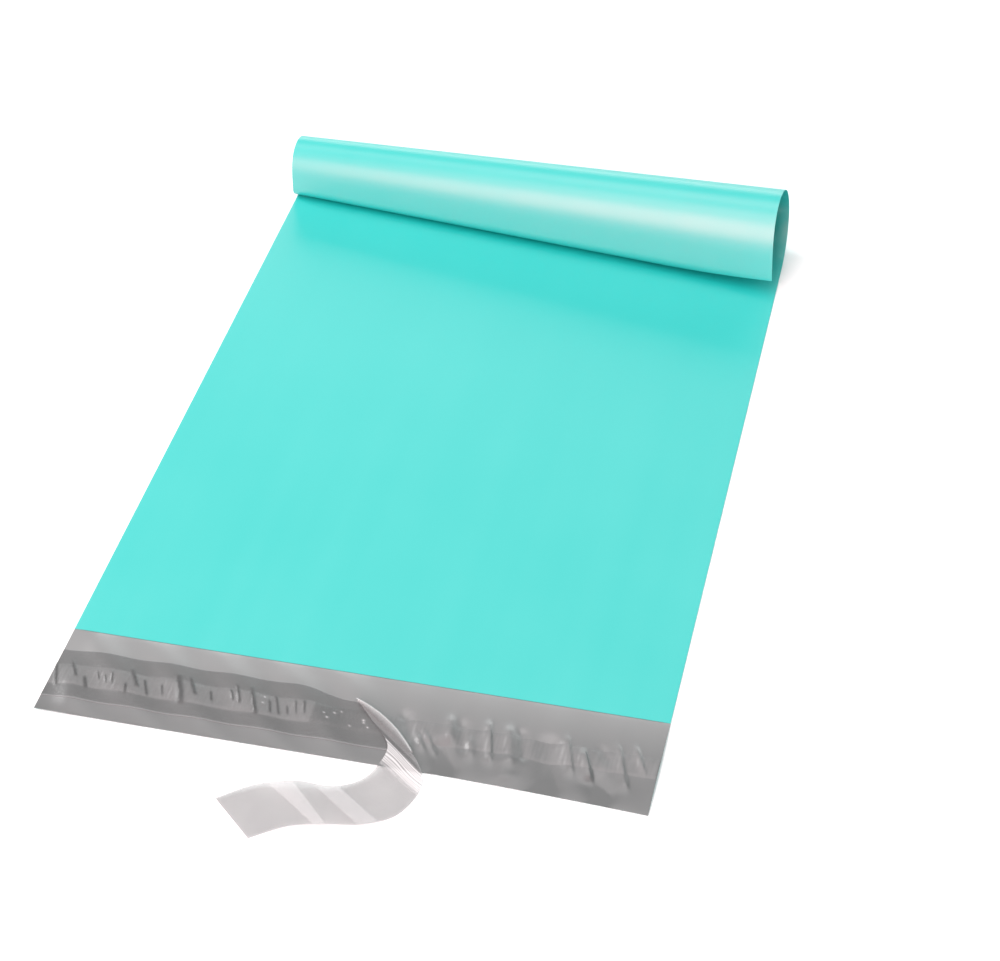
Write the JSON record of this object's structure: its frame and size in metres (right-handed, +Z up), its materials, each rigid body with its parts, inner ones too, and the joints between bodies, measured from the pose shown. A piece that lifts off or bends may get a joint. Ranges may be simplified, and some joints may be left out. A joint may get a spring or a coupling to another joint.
{
  "type": "poly mailer bag",
  "caption": "Flat self-seal mailing bag of plastic film with a side-welded pocket, a glued flap, a half-peeled release liner and a curled bottom end.",
  "frame": {"origin": "middle of the pocket's mouth line, on the underside of the back panel", "axes": "+X to the right across the width, +Y from the mouth towards the folded bottom, -Y towards the flap's free edge, +Z up out of the surface that the bag lies on"},
  "size_m": [0.2565, 0.4582, 0.041],
  "materials": {
    "film": "smooth satin teal polyethylene film outside, grey inside",
    "glue": "clear wet-looking pressure-sensitive glue over the grey film",
    "liner": "thin translucent release film with a silky gloss"
  },
  "bodies": {
    "root": {"film_bag": "film", "glue_strip": "glue", "release_liner": "liner"}
  },
  "joints": []
}
